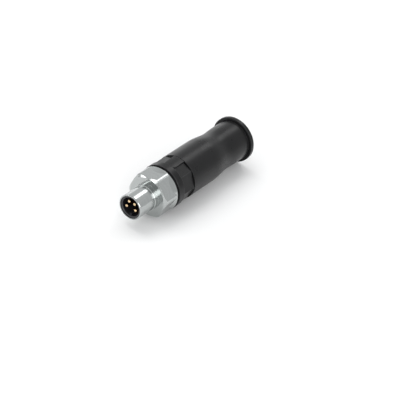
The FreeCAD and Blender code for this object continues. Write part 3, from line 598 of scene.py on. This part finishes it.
def make_rear_sleeve():
    """Rear sleeve whose taper, waist and flare flow into each other."""
    shape = merged_copy("rear_sleeve")
    outside = [vertex for vertex in shape.verts if vertex.co.yz.length > REAR_WALL_OUTSIDE]
    front = min(vertex.co.x for vertex in shape.verts)
    for vertex in outside:
        if vertex.co.x < front + micron:
            vertex.co.x += SEAM_CHAMFER
    rings = {(round(vertex.co.x, 6), round(vertex.co.yz.length, 6)) for vertex in outside
             if BLEND_START < vertex.co.x < BLEND_END}
    profile = sorted(rings)
    for step in range(BLEND_STEPS + 1):
        place = BLEND_START + (BLEND_END - BLEND_START) * step / BLEND_STEPS
        everything = [*shape.verts, *shape.edges, *shape.faces]
        bmesh.ops.bisect_plane(
            shape, geom=everything, dist=micron, plane_co=(place, 0, 0), plane_no=(1, 0, 0))
    for vertex in shape.verts:
        radius = vertex.co.yz.length
        if radius > REAR_WALL_OUTSIDE and BLEND_START < vertex.co.x < BLEND_END:
            vertex.co.yz = vertex.co.yz * (blended(profile, vertex.co.x) / radius)
    bmesh.ops.triangulate(shape, faces=shape.faces)
    finished_piece("smooth_rear_sleeve", shape, "black_plastic", "sleeve", "rear_sleeve")


def make_collar_run_outs():
    """Coupling sleeve whose collar flats end in slopes in front of the round rear rim."""
    shape = merged_copy("coupling_sleeve")
    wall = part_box("coupling_sleeve")[1].x - COLLAR_RIM_LENGTH
    standing = [face for face in shape.faces
                if all(abs(vertex.co.x - wall) < COLLAR_WALL_MARGIN for vertex in face.verts)]
    border = {edge for face in standing for edge in face.edges
              if sum(other in standing for other in edge.link_faces) == 1}
    flat_limit = COLLAR_FLAT_RADIUS + COLLAR_FLAT_MARGIN
    chords = [edge for edge in shape.edges
              if edge in border and (edge.verts[0].co + edge.verts[1].co).yz.length / 2 < flat_limit]
    rim_edges = border - set(chords)
    rows = [arc_beside(chord, rim_edges) for chord in chords]
    bmesh.ops.delete(shape, geom=standing, context="FACES_ONLY")
    for chord, row in zip(chords, rows):
        foot = [row[0]]
        flat_face = chord.link_faces[0]
        far = next(vertex for vertex in flat_face.verts if vertex not in chord.verts)
        for step in range(1, RUN_OUT_STEPS):
            place = row[0].co.lerp(row[-1].co, step / RUN_OUT_STEPS)
            aside = (row[0].co - row[-1].co).length * (step / RUN_OUT_STEPS - 0.5)
            depth = math.sqrt(COLLAR_RADIUS_SHOWN ** 2 - aside ** 2) - COLLAR_FLAT_RADIUS
            place.x -= max(depth, 0) * RUN_OUT_SLOPE
            foot.append(shape.verts.new(place))
        foot.append(row[-1])
        shape.faces.remove(flat_face)
        zip_faces(shape, foot, [far, far])
        zip_faces(shape, row, foot)
    finished_piece("dressed_coupling_sleeve", shape, "nickel", "coupling", "coupling_sleeve")


def make_spigot_thread():
    """Right-hand thread turns on the spigot, in the room that the rear sleeve leaves them."""
    tree, given, end = new_growth("thread_turns", [
        ("Start", 0.0), ("Length", 1.0), ("Turns", 1.0), ("Radius", 1.0), ("Crest", 1.0)])
    helix = tree.nodes.new("GeometryNodeCurveSpiral")
    helix.inputs["Resolution"].default_value = STEPS_ROUND
    sources = {"Rotations": "Turns", "Start Radius": "Radius", "End Radius": "Radius", "Height": "Length"}
    for label, source in sources.items():
        tree.links.new(given.outputs[source], helix.inputs[label])
    tube = tube_round_x(tree, helix.outputs[0], given.outputs["Crest"], THREAD_SIDES)
    turns = moved_along_x(tree, tube, given.outputs["Start"])
    finish_growth(tree, turns, end, MATERIALS["black_plastic"])
    grown_piece("spigot_thread", tree, {
        "Start": SPIGOT_THREAD_FRONT, "Length": SPIGOT_THREAD_LENGTH, "Radius": SPIGOT_RADIUS,
        "Turns": SPIGOT_THREAD_LENGTH / THREAD_PITCH, "Crest": THREAD_CREST}, "root")


def make_seal_ribs():
    """Rounded ribs inside the cable seal, which press into the cable's jacket."""
    tree, given, end = new_growth("ribs", [
        ("Start", 0.0), ("Spacing", 1.0), ("Count", 1), ("Radius", 1.0), ("Rib", 1.0)])
    ring = tree.nodes.new("GeometryNodeCurvePrimitiveCircle")
    ring.inputs["Resolution"].default_value = STEPS_ROUND
    tree.links.new(given.outputs["Radius"], ring.inputs["Radius"])
    rib = tube_round_x(tree, ring.outputs[0], given.outputs["Rib"], SEAL_RIB_SIDES)
    line = tree.nodes.new("GeometryNodeMeshLine")
    step = tree.nodes.new("ShaderNodeCombineXYZ")
    tree.links.new(given.outputs["Spacing"], step.inputs["X"])
    tree.links.new(given.outputs["Count"], line.inputs["Count"])
    tree.links.new(step.outputs[0], line.inputs["Offset"])
    copies = tree.nodes.new("GeometryNodeInstanceOnPoints")
    tree.links.new(line.outputs[0], copies.inputs["Points"])
    tree.links.new(rib, copies.inputs["Instance"])
    ribs = moved_along_x(tree, copies.outputs[0], given.outputs["Start"])
    finish_growth(tree, ribs, end, MATERIALS["seal_rubber"])
    seal_low, seal_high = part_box("cable_seal")
    waist = seal_high.x - seal_low.x - 2 * SEAL_FLARE
    spacing = waist / SEAL_RIBS
    grown_piece("cable_seal_ribs", tree, {
        "Start": seal_low.x + SEAL_FLARE + spacing / 2, "Spacing": spacing, "Count": SEAL_RIBS,
        "Radius": SEAL_BORE_RADIUS, "Rib": SEAL_RIB}, "root")


def make_floor():
    """Plain white floor at the plug's lowest point; it keeps the soft shadow."""
    bpy.ops.mesh.primitive_plane_add(size=FLOOR_SIZE, location=(0, 0, cad_low.z))
    floor = bpy.context.object
    floor.name = "floor"
    material = bpy.data.materials.new("white_floor")
    tree = node_tree(material)
    diffuse = tree.nodes.new("ShaderNodeBsdfDiffuse")
    feed(tree, diffuse.inputs["Color"], FLOOR_COLOUR)
    glow = tree.nodes.new("ShaderNodeEmission")
    path = tree.nodes.new("ShaderNodeLightPath")
    seen = maths(tree, "MAXIMUM", path.outputs["Is Camera Ray"], path.outputs["Is Glossy Ray"])
    seen = maths(tree, "MAXIMUM", seen, path.outputs["Is Transmission Ray"])
    tree.links.new(maths(tree, "MULTIPLY", seen, FLOOR_GLOW), glow.inputs["Strength"])
    both = tree.nodes.new("ShaderNodeAddShader")
    tree.links.new(diffuse.outputs[0], both.inputs[0])
    tree.links.new(glow.outputs[0], both.inputs[1])
    out = tree.nodes.new("ShaderNodeOutputMaterial")
    tree.links.new(both.outputs[0], out.inputs["Surface"])
    floor.data.materials.append(material)


def make_world():
    """Pale room: white to the camera; in reflections darker on the camera's side and bright
    at the horizon behind the plug."""
    world = bpy.data.worlds.new("pale_room")
    bpy.context.scene.world = world
    tree = node_tree(world)
    where = tree.nodes.new("ShaderNodeTexCoord")
    parts = tree.nodes.new("ShaderNodeSeparateXYZ")
    tree.links.new(where.outputs["Generated"], parts.inputs[0])
    behind = maths(tree, "ADD", maths(tree, "MULTIPLY", parts.outputs["X"], BEHIND[0]),
                   maths(tree, "MULTIPLY", parts.outputs["Y"], BEHIND[1]))
    side = mapped(tree, behind, *NEAR_TO_ROOM, NEAR_LIGHT, ROOM_LIGHT)
    low = mapped(tree, parts.outputs["Z"], *HORIZON_TO_SKY, 1.0, 0.0)
    far = mapped(tree, behind, *ROOM_TO_HORIZON, 0.0, HORIZON_LIGHT - ROOM_LIGHT)
    room = tree.nodes.new("ShaderNodeBackground")
    tree.links.new(maths(tree, "MULTIPLY_ADD", low, far, side), room.inputs["Strength"])
    feed(tree, room.inputs["Color"], ROOM_COLOUR)
    plain = tree.nodes.new("ShaderNodeBackground")
    feed(tree, plain.inputs["Color"], WHITE)
    path = tree.nodes.new("ShaderNodeLightPath")
    mix = tree.nodes.new("ShaderNodeMixShader")
    tree.links.new(path.outputs["Is Camera Ray"], mix.inputs[0])
    tree.links.new(room.outputs[0], mix.inputs[1])
    tree.links.new(plain.outputs[0], mix.inputs[2])
    out = tree.nodes.new("ShaderNodeOutputWorld")
    tree.links.new(mix.outputs[0], out.inputs["Surface"])


def softbox(name, direction, width, height, power, distance=LAMP_DISTANCE, mirrored=True):
    """Rectangular lamp that stands in a direction from the target and faces it. A lamp that
    isn't mirrored lights the scene, but shows in no polished surface."""
    lamp = bpy.data.lights.new(name, "AREA")
    lamp.shape = "RECTANGLE"
    lamp.size = width
    lamp.size_y = height
    lamp.energy = power
    holder = bpy.data.objects.new(name, lamp)
    bpy.context.scene.collection.objects.link(holder)
    holder.visible_glossy = mirrored
    towards = Vector(direction).normalized()
    holder.location = Vector(LAMP_TARGET) + towards * distance
    holder.rotation_euler = towards.to_track_quat("Z", "Y").to_euler()


def make_lights():
    """Four soft boxes that show in the metal, and one overhead that doesn't."""
    softbox("rear_box", (0.665, 0.11, 0.735), width=0.2, height=0.3, power=0.43)
    softbox("front_box", (-0.665, -0.64, 0.33), width=0.24, height=0.3, power=0.8)
    softbox("bevel_box", (-0.835, 0.2, 0.495), width=0.2, height=0.13, power=0.3)
    softbox("side_box", (-0.585, 0.76, 0.27), width=0.2, height=0.12, power=0.3)
    softbox("ceiling_box", (0.0, 0.45, 0.89), width=0.45, height=0.45, power=1.55, distance=0.7,
            mirrored=False)


def make_camera():
    """Long lens that shows the rim's centre at its pixel in the photograph."""
    azimuth = math.radians(CAMERA_AZIMUTH)
    elevation = math.radians(CAMERA_ELEVATION)
    roll = math.radians(CAMERA_ROLL)
    flat = math.cos(elevation)
    back = Vector((math.sin(azimuth) * flat, -math.cos(azimuth) * flat, math.sin(elevation)))
    level = Vector((math.cos(azimuth), math.sin(azimuth), 0))
    turn = Matrix.Rotation(roll, 3, back)
    right = turn @ level
    up = turn @ back.cross(level)
    aside = (PICTURE_SIZE / 2 - RIM_CENTRE_PIXEL[0]) / PIXELS_PER_MM_AT_RIM * mm
    above = (PICTURE_SIZE / 2 - RIM_CENTRE_PIXEL[1]) / PIXELS_PER_MM_AT_RIM * mm
    aim = right * aside - up * above
    place = back * CAMERA_DISTANCE
    away = (place - aim).normalized()
    across = up.cross(away).normalized()
    camera = bpy.data.objects.new("camera", bpy.data.cameras.new("camera"))
    bpy.context.scene.collection.objects.link(camera)
    camera.data.sensor_width = SENSOR_WIDTH
    camera.data.lens = PIXELS_PER_MM_AT_RIM / PICTURE_SIZE * SENSOR_WIDTH * CAMERA_DISTANCE / mm
    axes = Matrix((across, away.cross(across), away)).transposed()
    camera.matrix_world = Matrix.Translation(place) @ axes.to_4x4()
    bpy.context.scene.camera = camera


make_collar_run_outs()
make_rear_sleeve()
make_spigot_thread()
make_seal_ribs()
make_floor()
make_world()
make_lights()
make_camera()
bpy.context.scene.view_settings.view_transform = "Standard"
